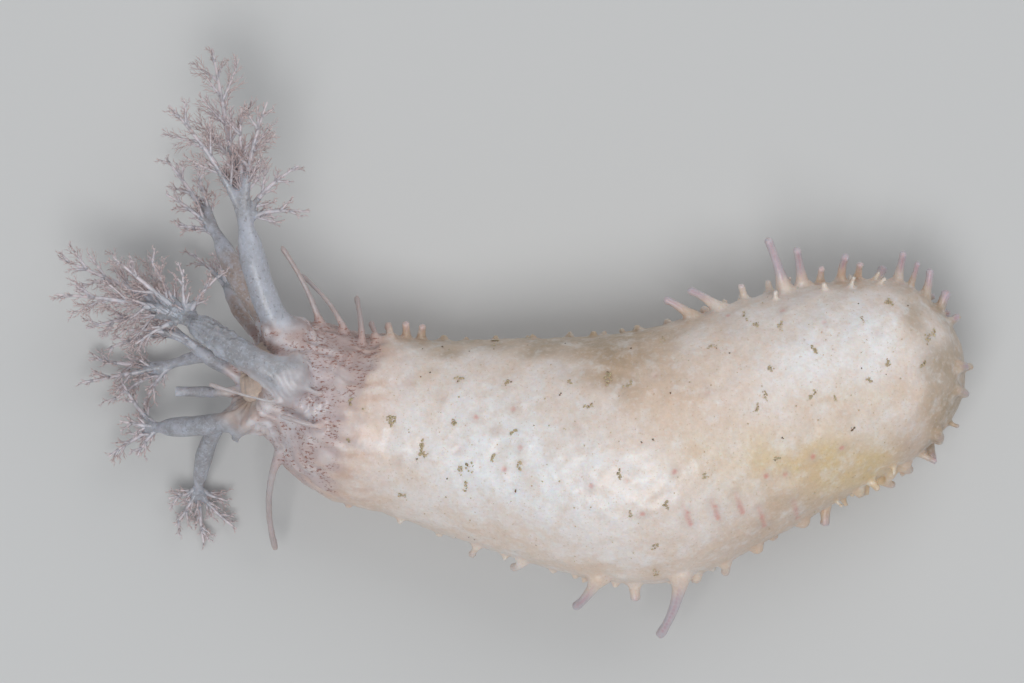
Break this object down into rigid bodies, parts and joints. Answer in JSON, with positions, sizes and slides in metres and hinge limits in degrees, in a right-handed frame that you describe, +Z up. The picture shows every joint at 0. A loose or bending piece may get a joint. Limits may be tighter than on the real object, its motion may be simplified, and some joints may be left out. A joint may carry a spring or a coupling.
{
  "type": "sea cucumber",
  "caption": "Life-size still model of a tree-tentacled sea cucumber lying on its belly, tube feet all round and branched feeding tentacles spread at the mouth end.",
  "frame": {"origin": "on the floor, in the middle of the belly flat that the animal rests on", "axes": "+X along the body from the mouth to the tail, +Y to the inner side of the body's bend, +Z up"},
  "size_m": [0.0706, 0.0455, 0.0172],
  "materials": {
    "body_skin": "soft moist skin, cream white, slightly translucent, satin",
    "introvert_skin": "thin moist skin, lilac grey with brown flecks, satin",
    "mouth_skin": "soft wrinkled skin, beige brown, satin",
    "tentacle_skin": "wet translucent skin, bluish grey, glossy",
    "crown_skin": "fine wet twigs, pinkish brown with pale axes, satin"
  },
  "bodies": {
    "root": {"introvert": "introvert_skin", "trunk_front": "body_skin", "trunk_middle": "body_skin", "trunk_rear": "body_skin", "tail_end": "body_skin", "oral_disc": "mouth_skin", "tentacle_01_stalk": "tentacle_skin", "tentacle_01_crown": "crown_skin", "tentacle_02_stalk": "tentacle_skin", "tentacle_02_crown": "crown_skin", "tentacle_03_stalk": "tentacle_skin", "tentacle_03_crown": "crown_skin", "tentacle_04_stalk": "tentacle_skin", "tentacle_04_crown": "crown_skin", "tentacle_05": "tentacle_skin", "tentacle_06_stalk": "tentacle_skin", "tentacle_06_crown": "crown_skin", "tentacle_07_stalk": "tentacle_skin", "tentacle_07_crown": "crown_skin", "tentacle_08": "tentacle_skin", "tentacle_09_stalk": "tentacle_skin", "tentacle_09_crown": "crown_skin", "tentacle_10_stalk": "tentacle_skin", "tentacle_10_crown": "crown_skin"}
  },
  "joints": []
}
